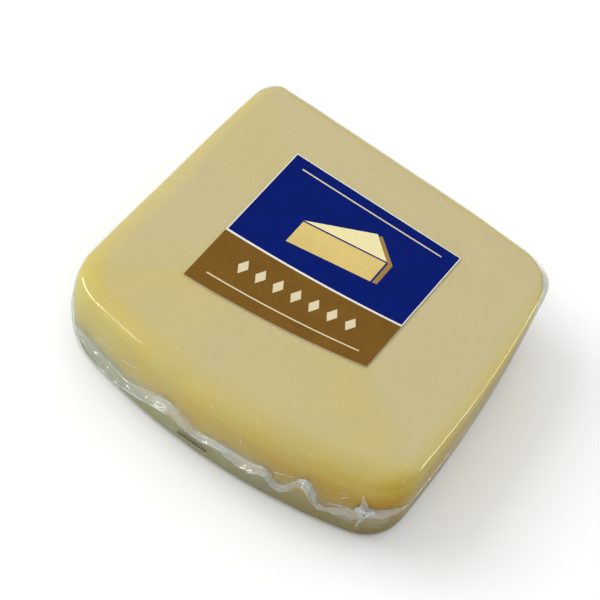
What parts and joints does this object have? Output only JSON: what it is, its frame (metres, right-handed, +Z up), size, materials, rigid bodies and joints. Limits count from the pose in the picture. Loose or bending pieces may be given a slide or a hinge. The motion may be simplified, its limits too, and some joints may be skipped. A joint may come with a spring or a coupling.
{
  "type": "parmesan chunk",
  "caption": "Flat chunk of hard pale cheese cut from a wheel, sealed in tight clear film with a wavy trimmed seam round its sides and a blue and brown label on top.",
  "frame": {"origin": "on the underside, below the middle of the pack", "axes": "+X to the right along the label, +Y to the back, away from the side of the wheel's rim, +Z up through the label"},
  "size_m": [0.105, 0.0993, 0.0303],
  "materials": {
    "wrapped_cheese": "pale yellow cheese under clear glossy film",
    "clear_film": "clear glossy shrink film, milky where it is folded",
    "label": "satin printed label, deep blue above brown gold"
  },
  "bodies": {
    "root": {"sealed_cheese": "wrapped_cheese", "label": "label"}
  },
  "joints": []
}
